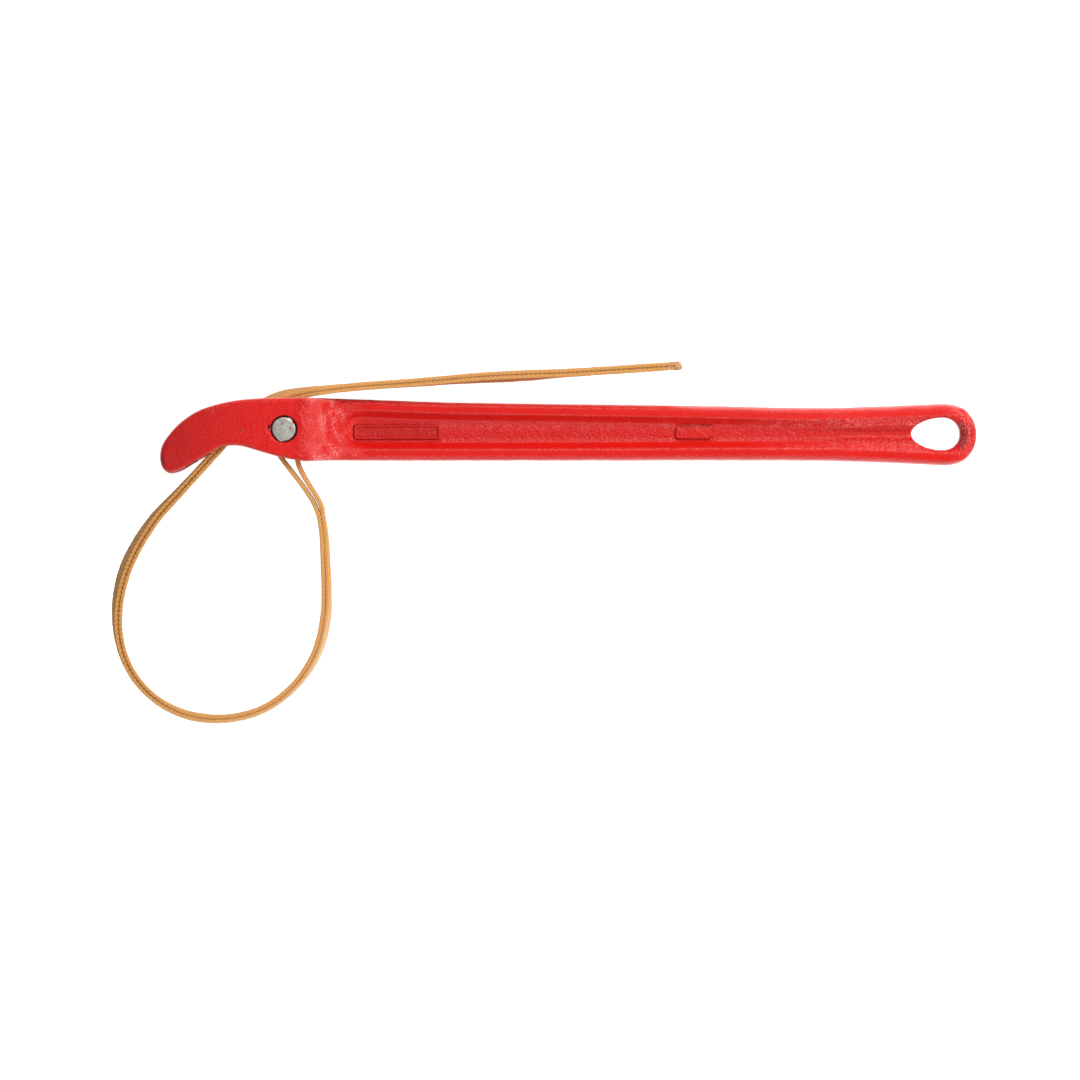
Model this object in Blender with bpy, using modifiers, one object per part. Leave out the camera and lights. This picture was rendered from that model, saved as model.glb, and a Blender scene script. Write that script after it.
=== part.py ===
"""Strap wrench: a cast handle with a forked head, a cross pin and a doubled webbing strap.

The wrench lies on its side. +X runs along the handle to its hanging ring, +Y is the back of the
head, and +Z is the pin's axis. The lower cheek of the head rests on z = 0, and the origin is under
the middle of the whole tool, strap included.

Sizes in the constants are millimetres from the pin's centre; place() turns them into metres.
"""
import math

import bmesh
import bpy
import numpy as np
from mathutils import Vector

MM = 0.001

# ---- driving dimensions, in millimetres ----
PIN_CENTRE = Vector((-95.0, 41.3, 19.0))
STRAP_WIDTH = 27.0
SIDE_CLEARANCE = 1.0
CHEEK = 4.5
HEAD_WIDTH = STRAP_WIDTH + 2 * SIDE_CLEARANCE + 2 * CHEEK
HANDLE_THICKNESS = 15.0
RING_THICKNESS = 14.0
PIN_DIAMETER = 8.5
PIN_HOLE_DIAMETER = 9.8
PIN_RECESS = 0.2
PLY = 1.35
PLY_GAP = 0.3
STRAP_THICKNESS = 2 * PLY + PLY_GAP
PARTING = 0.7

# ---- the handle ----
# back and front edges of the casting from the nose to the neck: (x, y) pairs
NOSE_BACK = [
    (-44.8, -12.8), (-45.15, -10.6), (-44.9, -7.7), (-43.9, -5.0), (-42.2, -2.5), (-39.6, 0.6),
    (-36.2, 3.6), (-32.0, 6.3), (-27.0, 8.3), (-21.5, 9.7), (-15.5, 10.7), (-9.0, 11.2),
    (-2.0, 11.45), (7.0, 11.5),
]
NOSE_FRONT = [
    (-44.4, -14.0), (-43.3, -15.4), (-41.6, -16.15), (-39.6, -15.75), (-37.2, -14.8), (-33.8, -12.7),
    (-30.2, -10.6), (-26.6, -8.6), (-22.9, -6.5), (-19.2, -5.8), (-14.6, -6.4), (-8.6, -8.2),
    (-1.4, -10.2), (7.0, -11.6),
]
NOSE_STEPS = 3
# the straight handle: (x, back y, front y)
SHANK = [
    (7.0, 11.5, -11.6), (20.0, 11.1, -11.4), (57.0, 9.7, -11.4), (115.0, 8.8, -11.3),
    (152.0, 8.2, -11.0), (188.0, 7.3, -11.0), (203.0, 7.4, -11.2), (225.0, 8.2, -12.0),
    (241.3, 8.9, -12.9),
]
END_START = 241.3
END_LENGTH = 11.6
END_POWER = 2.2
END_STEPS = 10
FLARE = (7.5, 22.0)
CHEEK_EDGE = 1.0
FLANGE_EDGE = 1.6
FLANGE = 3.7
SLOPE = 3.3
CHANNEL_DEPTH = 3.5
CHANNEL_START = (18.6, 25.6)
TROUGH = (195.0, 215.0)
CHANNEL_END = 250.0

# ---- the head's window, hang hole, pin stake and blank pads ----
WINDOW_WALL_OFFSET = 4.0
WINDOW_NOSE_X = -31.5
WINDOW_ROOT_X = 11.2
WINDOW_ROOT_BULGE = 1.6
WINDOW_REACH = 16.0
HOLE_CENTRE = (240.8, -1.75)
HOLE_RADIUS = 6.0
HOLE_REACH = 11.9
HOLE_TAPER = 1.12
STAKE = (1.1, 2.5, 0.8)
PLATE_CENTRE = (41.2, -1.0)
PLATE_SIZE = (31.6, 5.4)
PLATE_RIM = 0.9
PAD_CENTRE = (149.3, -1.3)
PAD_SIZE = (13.0, 4.6)
PAD_HEIGHT = 0.6
PAD_ROOT = 1.0
PLATE_CORNER = 1.2
FIELD_HEIGHT = 0.1

# ---- the strap ----
THROAT_HEADING = math.radians(48.0)
THROAT_ENTRY = Vector((-24.1, -7.7))
THROAT_STRAIGHT = 8.0
THROAT_RADIUS = 49.0
THROAT_TURN = math.radians(32.0)
# middle of the doubled strap round the loop, from under the head to just before the window
LOOP_ROUTE = [
    (13.3, -31.2), (14.3, -36.5), (14.7, -42.5), (14.9, -50.0), (15.1, -59.0), (14.6, -69.0),
    (11.9, -80.8), (5.9, -91.2), (-2.8, -99.4), (-13.6, -104.5), (-25.4, -106.0), (-37.1, -103.5),
    (-47.5, -97.5), (-55.3, -88.5), (-59.7, -77.4), (-60.4, -65.5), (-57.8, -53.7),
    (-53.0, -42.8), (-46.6, -32.7), (-37.9, -23.0), (-28.8, -12.9),
]
TAIL_ROUTE = [
    (10.0, 13.9), (16.0, 14.7), (24.0, 15.5), (41.6, 16.9), (59.1, 18.0), (76.7, 19.0),
    (94.2, 20.0), (111.7, 21.1), (129.2, 22.3), (145.3, 23.3),
]
# middle of the single ply that goes round the pin, from the loop's inner ply to its outer ply
EYE_ROUTE = [
    (10.7, -26.9), (8.1, -22.8), (5.4, -19.0), (2.2, -14.9), (-1.0, -10.7), (-4.1, -6.3), (-6.1, -2.0),
    (-5.9, 2.4), (-3.2, 5.4), (0.8, 6.1), (4.3, 4.2), (5.7, 0.2), (5.2, -5.0), (4.7, -9.0), (4.9, -12.0),
    (5.7, -14.4), (7.2, -17.3), (9.3, -20.8), (11.6, -24.4), (13.5, -28.2),
]
LOOP_SEGMENTS = 12
TAIL_SEGMENTS = 7
THROAT_LEAD = 5.0
SEAL = 3.0
STRIP_STEP = 3.5


def place(x, y, z=0.0):
    """A point given in millimetres from the pin's centre, in metres from the origin."""
    return (PIN_CENTRE + Vector((x, y, z))) * MM


def ease(value, low, high):
    """0 below low, 1 above high and a smooth step between."""
    share = min(max((value - low) / (high - low), 0.0), 1.0)
    return share * share * (3 - 2 * share)


def catmull_rom(points, steps):
    """A smooth line through the points, with so many steps between each two."""
    points = [Vector(p) for p in points]
    ends = [2 * points[0] - points[1], *points, 2 * points[-1] - points[-2]]
    line = []
    for a, b, c, d in zip(ends, ends[1:], ends[2:], ends[3:]):
        for step in range(steps):
            t = step / steps
            bend = (2 * a - 5 * b + 4 * c - d) * t * t + (3 * b - a - 3 * c + d) * t**3
            line.append(b + 0.5 * ((c - a) * t + bend))
    return [*line, points[-1]]


class Route:
    """A smooth planar line that is asked for by the length along it."""

    def __init__(self, points, steps=24):
        self.line = np.array([tuple(p) for p in catmull_rom(points, steps)])
        step = np.linalg.norm(np.diff(self.line, axis=0), axis=1)
        self.along = np.concatenate([[0.0], np.cumsum(step)])
        self.length = float(self.along[-1])

    def point(self, s):
        return Vector([float(np.interp(s, self.along, self.line[:, i])) for i in (0, 1)])

    def left(self, s):
        """The unit normal on the line's left."""
        ahead = self.point(min(s + 0.5, self.length)) - self.point(max(s - 0.5, 0.0))
        return Vector((-ahead.y, ahead.x)).normalized()

    def nearest(self, point):
        """The length along the line at which it passes nearest to a point."""
        gap = np.linalg.norm(self.line - np.array(tuple(point)), axis=1)
        return float(self.along[int(np.argmin(gap))])


# ---- materials ----
def material(name, colour, roughness, metallic=0.0):
    made = bpy.data.materials.new(name)
    made.use_nodes = True
    shader = made.node_tree.nodes["Principled BSDF"]
    shader.inputs["Base Color"].default_value = (*colour, 1.0)
    shader.inputs["Roughness"].default_value = roughness
    shader.inputs["Metallic"].default_value = metallic
    return made


# ---- scene helpers ----
def start_scene():
    for obj in list(bpy.data.objects):
        bpy.data.objects.remove(obj, do_unlink=True)


def collection(name):
    made = bpy.data.collections.new(name)
    bpy.context.scene.collection.children.link(made)
    return made


def mesh_object(name, mesh, home):
    made = bpy.data.objects.new(name, mesh)
    home.objects.link(made)
    return made


def mesh_from_loops(name, loops):
    """A closed mesh skinned over loops of equally many points, with both ends capped."""
    shape = bmesh.new()
    rows = [[shape.verts.new(p) for p in loop] for loop in loops]
    for row, following in zip(rows, rows[1:]):
        for i in range(len(row)):
            j = (i + 1) % len(row)
            shape.faces.new((row[i], row[j], following[j], following[i]))
    shape.faces.new(rows[0])
    shape.faces.new(rows[-1])
    bmesh.ops.recalc_face_normals(shape, faces=shape.faces)
    mesh = bpy.data.meshes.new(name)
    shape.to_mesh(mesh)
    shape.free()
    return mesh


def prism(name, outline, low, high, home):
    """A flat outline, in millimetres from the pin, made solid from z = low to z = high."""
    curve = bpy.data.curves.new(name, "CURVE")
    curve.dimensions = "2D"
    curve.fill_mode = "BOTH"
    curve.extrude = (high - low) / 2 * MM
    spline = curve.splines.new("POLY")
    spline.points.add(len(outline) - 1)
    for point, (x, y) in zip(spline.points, outline):
        point.co = (x * MM, y * MM, 0.0, 1.0)
    spline.use_cyclic_u = True
    drawn = mesh_object(name, curve, home)
    drawn.location = place(0.0, 0.0, (low + high) / 2)
    bpy.context.view_layer.update()
    evaluated = drawn.evaluated_get(bpy.context.evaluated_depsgraph_get())
    mesh = bpy.data.meshes.new_from_object(evaluated)
    shape = bmesh.new()
    shape.from_mesh(mesh)
    bmesh.ops.remove_doubles(shape, verts=shape.verts, dist=0.00001)
    bmesh.ops.recalc_face_normals(shape, faces=shape.faces)
    shape.to_mesh(mesh)
    shape.free()
    mesh.name = name
    where = drawn.matrix_world.copy()
    bpy.data.objects.remove(drawn, do_unlink=True)
    solid = mesh_object(name, mesh, home)
    solid.matrix_world = where
    return solid


def cylinder(name, diameter, length, home, vertices=48):
    bpy.ops.mesh.primitive_cylinder_add(
        vertices=vertices, radius=diameter / 2 * MM, depth=length * MM, location=place(0, 0)
    )
    made = bpy.context.object
    made.name = name
    for holder in list(made.users_collection):
        holder.objects.unlink(made)
    home.objects.link(made)
    return made


def box(name, centre, size, low, high, home):
    """An upright box round a centre in the plane, from z = low to z = high."""
    x, y = centre
    width, depth = size[0] / 2, size[1] / 2
    corners = [(-1, -1), (1, -1), (1, 1), (-1, 1)]
    return prism(name, [(x + i * width, y + j * depth) for i, j in corners], low, high, home)


def hide_cutter(cutter):
    cutter.hide_render = True
    cutter.display_type = "WIRE"


def combine(target, tool, operation):
    hide_cutter(tool)
    modifier = target.modifiers.new(tool.name, "BOOLEAN")
    modifier.operation = operation
    modifier.solver = "EXACT"
    modifier.object = tool


def round_edges(obj, angle=35.0):
    obj.data.shade_smooth()
    obj.data.set_sharp_from_angle(angle=math.radians(angle))


# ---- the handle ----
def half_thickness(x):
    flared = HEAD_WIDTH / 2 + (HANDLE_THICKNESS - HEAD_WIDTH) / 2 * ease(x, *FLARE)
    return flared + (RING_THICKNESS - HANDLE_THICKNESS) / 2 * ease(x, *TROUGH)


def channel(x, half_height):
    """The channel's edge and floor, as distances from the middle, and its depth."""
    opening = ease(x, *CHANNEL_START)
    edge = (half_height - FLANGE) * math.sqrt(opening)
    if x > END_START:
        reach = (x - END_START) / (CHANNEL_END - END_START)
        edge = (half_height_at(END_START) - FLANGE) * math.sqrt(max(1 - reach * reach, 0.0))
    slope = SLOPE + (edge - SLOPE) * ease(x, *TROUGH)
    floor = max(edge - slope, 0.04 * half_height)
    depth = CHANNEL_DEPTH * opening * (1 - ease(x, CHANNEL_END - 6.0, CHANNEL_END))
    return edge, floor, depth


def half_height_at(x):
    back, front = shank_edges(x)
    return (back - front) / 2


def shank_edges(x):
    stations = [s[0] for s in SHANK]
    return tuple(float(np.interp(x, stations, [s[i] for s in SHANK])) for i in (1, 2))


def casting_section(back, front):
    """One closed ring of points round the casting between its back and front edges."""
    middle = (back + front) / 2
    half_height = (back - front).length / 2
    up = (back - front).normalized()
    thick = half_thickness(middle.x)
    round_off = CHEEK_EDGE + (FLANGE_EDGE - CHEEK_EDGE) * ease(middle.x, *FLARE)
    round_off = min(round_off, 0.45 * half_height)
    edge, floor, depth = channel(middle.x, half_height)
    edge = min(max(edge, 0.08 * half_height), half_height - 1.15 * round_off)
    floor = min(floor, 0.7 * edge)
    corner = []
    for step in range(4):
        turn = math.radians(30 * step)
        across = half_height - round_off * (1 - math.cos(turn))
        corner.append((across, thick - round_off * (1 - math.sin(turn))))
    quarter = [*corner, (edge, thick), ((edge + floor) / 2, thick - depth / 2), (floor, thick - depth)]
    face = quarter + [(-v, z) for v, z in reversed(quarter)]
    ring = face + [(v, -z) for v, z in reversed(face)]
    return [place(*(middle + up * v), z) for v, z in ring]


def casting_stations():
    """Pairs of back and front edge points, from the nose's tip to the end of the ring."""
    pairs = list(zip(catmull_rom(NOSE_BACK, NOSE_STEPS), catmull_rom(NOSE_FRONT, NOSE_STEPS)))
    for x in [*np.arange(8.5, 28.0, 1.5), *np.arange(33.0, 195.0, 15.0), *np.arange(200.0, END_START, 4.5)]:
        back, front = shank_edges(x)
        pairs.append((Vector((x, back)), Vector((x, front))))
    back, front = shank_edges(END_START)
    for step in range(END_STEPS + 1):
        reach = math.sin(math.radians(88) * step / END_STEPS)
        share = (1 - reach**END_POWER) ** (1 / END_POWER)
        x = END_START + END_LENGTH * reach
        middle, half = (back + front) / 2, (back - front) / 2 * share
        pairs.append((Vector((x, middle + half)), Vector((x, middle - half))))
    return pairs


def throat_arc(offset=0.0, steps=5):
    """Points on the strap's arc through the head, moved to the left by the offset."""
    ahead = Vector((math.cos(THROAT_HEADING), math.sin(THROAT_HEADING)))
    left = Vector((-ahead.y, ahead.x))
    start = THROAT_ENTRY + ahead * THROAT_STRAIGHT
    centre = start - left * THROAT_RADIUS
    points = []
    for step in range(steps + 1):
        heading = THROAT_HEADING - THROAT_TURN * step / steps
        outward = Vector((-math.sin(heading), math.cos(heading)))
        points.append(centre + outward * (THROAT_RADIUS + offset))
    return points


def window_outline():
    """The opening through the head: the nose's wall follows the strap, the root is hollowed."""
    ahead = Vector((math.cos(THROAT_HEADING), math.sin(THROAT_HEADING)))
    left = Vector((-ahead.y, ahead.x))
    low = THROAT_ENTRY + left * WINDOW_WALL_OFFSET
    reach = (WINDOW_NOSE_X - low.x) / ahead.x
    wall = [low + ahead * reach, *throat_arc(WINDOW_WALL_OFFSET)]
    wall = [p for p in wall if p.y < WINDOW_REACH]
    root = []
    for step in range(7):
        y = WINDOW_REACH * (1 - step / 3)
        root.append((WINDOW_ROOT_X + WINDOW_ROOT_BULGE * (1 - (y / WINDOW_REACH) ** 2), y))
    outline = [(WINDOW_NOSE_X, -WINDOW_REACH - 4), *wall, (wall[-1].x + 1.0, WINDOW_REACH), *root]
    return [tuple(p) for p in outline]


def hole_outline():
    """The hanging hole: round towards the handle's end and egg-shaped towards the head."""
    points = []
    for step in range(40):
        turn = math.radians(9 * step)
        reach, across = HOLE_RADIUS, abs(math.sin(turn))
        if math.cos(turn) < 0:
            reach, across = HOLE_REACH, across**HOLE_TAPER
        y = HOLE_RADIUS * math.copysign(across, math.sin(turn))
        points.append((HOLE_CENTRE[0] + reach * math.cos(turn), HOLE_CENTRE[1] + y))
    return points


def rounded_rectangle(centre, size, radius):
    points = []
    for corner, (right, up) in enumerate(((1, 1), (-1, 1), (-1, -1), (1, -1))):
        turn = math.radians(90 * corner)
        x = centre[0] + right * (size[0] / 2 - radius)
        y = centre[1] + up * (size[1] / 2 - radius)
        for step in range(4):
            angle = turn + math.radians(30 * step)
            points.append((x + radius * math.cos(angle), y + radius * math.sin(angle)))
    return points


def make_handle(home, cutters, paint):
    rings = [casting_section(back, front) for back, front in casting_stations()]
    handle = mesh_object("handle", mesh_from_loops("handle", rings), home)
    handle.data.materials.append(paint)
    half = HEAD_WIDTH / 2
    window_half = STRAP_WIDTH / 2 + SIDE_CLEARANCE
    web = HANDLE_THICKNESS / 2 - CHANNEL_DEPTH
    plate = rounded_rectangle(PLATE_CENTRE, PLATE_SIZE, PLATE_CORNER)
    field = rounded_rectangle(PLATE_CENTRE, [side - 2 * PLATE_RIM for side in PLATE_SIZE], PLATE_CORNER / 2)
    pad = rounded_rectangle(PAD_CENTRE, PAD_SIZE, PLATE_CORNER)
    for side, name in ((1, "upper"), (-1, "lower")):
        raised = sorted((side * (web - PAD_ROOT), side * (web + PAD_HEIGHT)))
        sunk = sorted((side * (web + FIELD_HEIGHT), side * half))
        combine(handle, prism(f"plate_{name}", plate, *raised, cutters), "UNION")
        combine(handle, prism(f"plate_field_{name}", field, *sunk, cutters), "DIFFERENCE")
    combine(handle, prism("pad_upper", pad, web - PAD_ROOT, web + PAD_HEIGHT, cutters), "UNION")
    combine(handle, prism("window", window_outline(), -window_half, window_half, cutters), "DIFFERENCE")
    combine(handle, cylinder("pin_bore", PIN_HOLE_DIAMETER, HEAD_WIDTH + 4, cutters), "DIFFERENCE")
    combine(handle, prism("hang_hole", hole_outline(), -half, half, cutters), "DIFFERENCE")
    notch_x = -PIN_HOLE_DIAMETER / 2 - STAKE[0] / 2 + 0.3
    stake = box("stake_notch", (notch_x, 0.0), (STAKE[0] + 0.6, STAKE[1]), half - STAKE[2], half + 1, cutters)
    combine(handle, stake, "DIFFERENCE")
    round_edges(handle)
    return handle


def make_pin(home, steel):
    pin = cylinder("pin", PIN_DIAMETER, HEAD_WIDTH - 2 * PIN_RECESS, home)
    pin.data.materials.append(steel)
    bevel = pin.modifiers.new("rim", "BEVEL")
    bevel.width = 0.5 * MM
    bevel.segments = 2
    bevel.limit_method = "ANGLE"
    round_edges(pin)
    return pin


# ---- the strap ----
def strap_route():
    return Route([*LOOP_ROUTE, THROAT_ENTRY, *throat_arc(), *TAIL_ROUTE])


def strip(name, route, start, end, middle, thickness, home, cloth):
    """A length of webbing on edge, its middle so far to the left of the route."""
    count = max(2, round((end - start) / STRIP_STEP))
    stations = [start + (end - start) * i / count for i in range(count + 1)]
    sides = []
    for offset in (middle - thickness / 2, middle + thickness / 2):
        sides.append([tuple(route.point(s) + route.left(s) * offset) for s in stations])
    solid = prism(name, sides[0] + sides[1][::-1], -STRAP_WIDTH / 2, STRAP_WIDTH / 2, home)
    solid.data.materials.append(cloth)
    return solid


def segment_ends(route):
    """Names of the strap's lengths and where each begins and ends along the route."""
    entry = route.nearest(THROAT_ENTRY) - THROAT_LEAD
    bend = route.nearest(throat_arc()[0])
    leave = route.nearest(throat_arc()[-1])
    tip = route.length - SEAL
    loop = np.linspace(0.0, entry, LOOP_SEGMENTS + 1)
    tail = np.linspace(leave, tip, TAIL_SEGMENTS + 1)
    cuts = [*loop, bend, *tail]
    names = [f"loop_{i + 1:02d}" for i in range(LOOP_SEGMENTS)]
    names += ["throat_lower", "throat_upper"]
    names += [f"tail_{i + 1:02d}" for i in range(TAIL_SEGMENTS)]
    return [(name, float(a), float(b)) for name, a, b in zip(names, cuts, cuts[1:])]


def make_strap(home, cloth, sealed):
    route = strap_route()
    offset = (PLY + PLY_GAP) / 2
    made = []
    for name, start, end in segment_ends(route):
        start, end = start + PARTING / 2, end - PARTING / 2
        made.append(strip(f"{name}_inner_ply", route, start, end, -offset, PLY, home, cloth))
        made.append(strip(f"{name}_outer_ply", route, start, end, offset, PLY, home, cloth))
    end = route.length
    made.append(strip("sealed_tip", route, end - SEAL + PARTING / 2, end, 0.0, STRAP_THICKNESS, home, sealed))
    inner = route.point(0) - route.left(0) * offset
    outer = route.point(0) + route.left(0) * offset
    eye = Route([tuple(inner), *EYE_ROUTE, tuple(outer)], steps=12)
    made.append(strip("strap_eye", eye, PARTING / 2, eye.length - PARTING / 2, 0.0, PLY, home, cloth))
    return made


def main():
    start_scene()
    wrench = collection("strap_wrench")
    cutters = collection("cutters")
    paint = material("red_paint", (0.72, 0.02, 0.018), 0.35)
    steel = material("pin_steel", (0.45, 0.45, 0.42), 0.45, 0.9)
    cloth = material("strap_webbing", (0.72, 0.36, 0.12), 0.85)
    sealed = material("strap_seal", (0.66, 0.36, 0.15), 0.6)
    make_handle(wrench, cutters, paint)
    make_pin(wrench, steel)
    make_strap(wrench, cloth, sealed)


main()
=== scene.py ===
# Looks of a strap wrench: a red painted casting, a zinc-plated cross pin and doubled tan webbing.
#
# The wrench lies on its side on a pale floor. Sizes are millimetres from the pin's centre: +X runs
# along the handle to its hanging ring, +Y is the back of the head and +Z is the pin's axis.
import math

import bmesh
import bpy
import numpy as np
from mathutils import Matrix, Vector, noise


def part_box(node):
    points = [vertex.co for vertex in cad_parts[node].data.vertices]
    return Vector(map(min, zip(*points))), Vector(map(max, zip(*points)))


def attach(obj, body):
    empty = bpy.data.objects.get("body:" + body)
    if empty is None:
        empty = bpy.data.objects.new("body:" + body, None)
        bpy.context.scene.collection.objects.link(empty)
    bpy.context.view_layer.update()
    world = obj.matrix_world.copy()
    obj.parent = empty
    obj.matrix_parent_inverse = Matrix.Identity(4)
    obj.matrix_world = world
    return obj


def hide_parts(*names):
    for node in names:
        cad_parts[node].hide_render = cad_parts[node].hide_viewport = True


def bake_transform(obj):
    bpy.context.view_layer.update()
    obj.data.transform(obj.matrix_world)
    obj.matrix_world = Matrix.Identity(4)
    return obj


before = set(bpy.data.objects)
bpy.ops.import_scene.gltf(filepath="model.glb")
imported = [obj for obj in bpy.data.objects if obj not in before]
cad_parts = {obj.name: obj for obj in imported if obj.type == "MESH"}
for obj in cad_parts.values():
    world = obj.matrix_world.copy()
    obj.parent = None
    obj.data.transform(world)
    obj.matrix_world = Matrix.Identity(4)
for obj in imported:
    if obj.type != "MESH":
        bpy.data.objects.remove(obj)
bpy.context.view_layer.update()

MM = 0.001
PIN_LOW, PIN_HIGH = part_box("pin")
PIN_CENTRE = np.array((PIN_LOW + PIN_HIGH) / 2) / MM
HALF_HEAD = PIN_CENTRE[2]
RANDOM = np.random.default_rng(31)

# ---- the strap's dimensions and path ----
STRAP_WIDTH = 27.0
PLY = 1.48
PLY_OFFSET = 0.75
PLY_ROUNDING = 0.4
# the weave: beads along its edges, ribs along its faces and fill threads across them
BEAD_PITCH = 1.7
ROWS_PER_BEAD = 5
RIBS = 17
SAMPLES_PER_RIB = 4
EDGE_STEPS = 5
FILL_PITCH = 0.9
STRAND_PITCH = 0.25
# rows past each end of a ply, which only shape the normals there
GHOST_ROWS = 3
# the pinch in the inner ply near its end: (distance from the tip, depth, half length)
NICK = (4.3, 0.22, 0.4)
SEAL = 3.0
# the upper corner of the sealed end, which is paler
PALE_CORNER = (145.3, 24.6, 13.0)
# the strap's way through the head: where and at what heading it enters, a straight stretch, an arc,
# and how far ahead of the entry the loop's last length ends
THROAT_HEADING = math.radians(48.0)
THROAT_ENTRY = (-24.1, -7.7)
THROAT_STRAIGHT = 8.0
THROAT_RADIUS = 49.0
THROAT_TURN = math.radians(32.0)
THROAT_LEAD = 5.0
LOOP_SEGMENTS = 12
TAIL_SEGMENTS = 7
ROUTE_STEPS = 24
EYE_STEPS = 12
# the doubled strap's middle line below the head and behind it, and the single ply's turn round the pin
LOOP_ROUTE = [
    (13.3, -31.2), (14.3, -36.5), (14.7, -42.5), (14.9, -50.0), (15.1, -59.0), (14.6, -69.0),
    (11.9, -80.8), (5.9, -91.2), (-2.8, -99.4), (-13.6, -104.5), (-25.4, -106.0), (-37.1, -103.5),
    (-47.5, -97.5), (-55.3, -88.5), (-59.7, -77.4), (-60.4, -65.5), (-57.8, -53.7),
    (-53.0, -42.8), (-46.6, -32.7), (-37.9, -23.0), (-28.8, -12.9),
]
TAIL_ROUTE = [
    (10.0, 13.9), (16.0, 14.7), (24.0, 15.5), (41.6, 16.9), (59.1, 18.0), (76.7, 19.0),
    (94.2, 20.0), (111.7, 21.1), (129.2, 22.3), (145.3, 23.3),
]
EYE_ROUTE = [
    (10.7, -26.9), (8.1, -22.8), (5.4, -19.0), (2.2, -14.9), (-1.0, -10.7), (-4.1, -6.3), (-6.1, -2.0),
    (-5.9, 2.4), (-3.2, 5.4), (0.8, 6.1), (4.3, 4.2), (5.7, 0.2), (5.2, -5.0), (4.7, -9.0), (4.9, -12.0),
    (5.7, -14.4), (7.2, -17.3), (9.3, -20.8), (11.6, -24.4), (13.5, -28.2),
]
# how the doubled strap stands: (length along it, its upper edge's shift to the left of the route,
# how much further to the left its lower edge is)
STANCE = [
    (0, 0.0, -0.35), (5, -0.15, -0.05), (10, -0.1, 0.1), (20, 0.0, 0.3), (30, 0.05, 0.5),
    (40, 0.1, 0.7), (50, 0.0, 0.6), (60, 0.0, 0.25), (70, 0.0, 0.0), (80, 0.0, 0.15), (90, -0.2, 0.15),
    (100, -0.1, 0.0), (110, 0.4, 0.15), (120, 0.45, 0.55), (130, 0.5, 0.65), (140, 0.35, 0.8),
    (150, 0.0, 1.2), (160, -0.15, 1.9), (170, 0.0, 2.4), (180, -0.05, 2.4), (190, -0.25, 2.0),
    (200, -0.15, 1.35), (210, -0.05, 0.85), (218, -0.05, 0.6), (236, -0.1, 0.9), (246, -0.1, 2.1),
    (254, -0.1, 2.6), (262, -0.4, 1.8), (270, -0.6, 0.85), (280, -0.35, 0.3), (290, -0.25, 0.25),
    (300, -0.4, 0.25), (310, -0.25, 0.05), (320, 0.05, -0.15), (330, 0.45, -0.65), (340, 0.45, -0.95),
    (350, 0.35, -0.75), (360, 0.0, 0.1), (370, -0.1, 0.25), (380, -0.15, 0.25), (390, -0.15, 0.25),
    (404, -0.1, 0.25),
]
# how strongly painted shade darkens the groove between the plies in dashes: (length along the strap,
# share)
GROOVE_SHADING = [
    (12, 0.0), (20, 0.35), (60, 0.2), (100, 0.3), (130, 0.8), (215, 1.0), (265, 0.3), (300, 0.45),
    (405, 0.6),
]
# how plainly the twisted edge yarns show through the painted shade between their beads: (length along the
# strap, share)
TWISTED = [(0, 0.6), (20, 0.45), (100, 0.5), (135, 0.8), (215, 0.9), (265, 0.5), (405, 0.6)]
# how much painted shade darkens the loop's outside on its unlit side: (length along the strap, share)
OUTSIDE_SHADING = [(100, 0.0), (135, 0.9), (160, 0.95), (215, 0.6), (250, 0.0)]

# ---- the casting's features ----
VOXEL = 0.5
# rounds of smoothing for the whole skin, then for the flare and for the edge of shank and ring
SMOOTHING = 7
FLARE_SMOOTHING = 130
RIM_SMOOTHING = 40
# how far the smoothed edge is pushed out again
RIM_REGAIN = 0.3
# height of the seam that the mould's halves leave
FLASH = 0.25
RING_CENTRE = (241.3, -2.0)
# the straight handle's back and front edges: (x, back y, front y)
SHANK = [
    (7.0, 11.5, -11.6), (20.0, 11.1, -11.4), (57.0, 9.7, -11.4), (115.0, 8.8, -11.3),
    (152.0, 8.2, -11.0), (188.0, 7.3, -11.0), (203.0, 7.4, -11.2), (225.0, 8.2, -12.0),
    (241.3, 8.9, -12.9),
]
# widths of the shank's flanges and of the slopes down to its web
FLANGE = 3.7
SLOPE = 3.3
WEB = 4.0
# heights below this belong to the web and its plates, not to the flanges
BELOW_FLANGE = 6.5
# the blank plates on the web: (centre, size, corner radius)
PLATE = ((41.2, -1.0), (31.6, 5.4), 1.2)
PAD = ((149.3, -1.3), (13.0, 4.6), 1.2)
RAISED = 0.75
RIM = 0.9
# places of the chips in the cheek's paint, the bore's radius out of sight, and the stake mark
CHIPS = [(-15.7, -0.7), (-26.3, 6.6)]
BORE_CLOSE = 4.5
STAKE = (-5.4, 0.6)
STAKE_DEPTH = 0.9
# sizes over which the casting's skin waves, is pitted and its painted glints cluster
LUMP_SIZE = 7.0
PIT_SIZE = 1.5
PATCH_SIZE = 3.2

# ---- the pin's marks on its upper end: (x, y, radius) ----
PAINT_SPOTS = [(-0.7, 1.8, 0.45), (2.4, 0.6, 0.45), (2.2, 0.1, 0.35), (-1.5, 0.3, 0.2)]
YELLOW_STAINS = [(0.15, 2.9, 0.6), (-3.3, 0.1, 0.5), (0.9, -2.9, 0.45)]
PAINTED_RIM = (3.5, 2.5, 0.7)

# ---- the studio, in metres and watts: lights are (name, place, aim, size, power) ----
LIGHTS = [
    ("key", (0.75, 1.0, 1.3), (0, 0, 0), (1.3, 0.9), 22),
    ("front_card", (-0.1, -1.0, 0.9), (0, 0, 0), (1.8, 0.8), 5),
    ("sparkle", (0.75, 0.12, 0.62), (0, 0, 0.02), (0.5, 0.16), 2.2),
]
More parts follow.
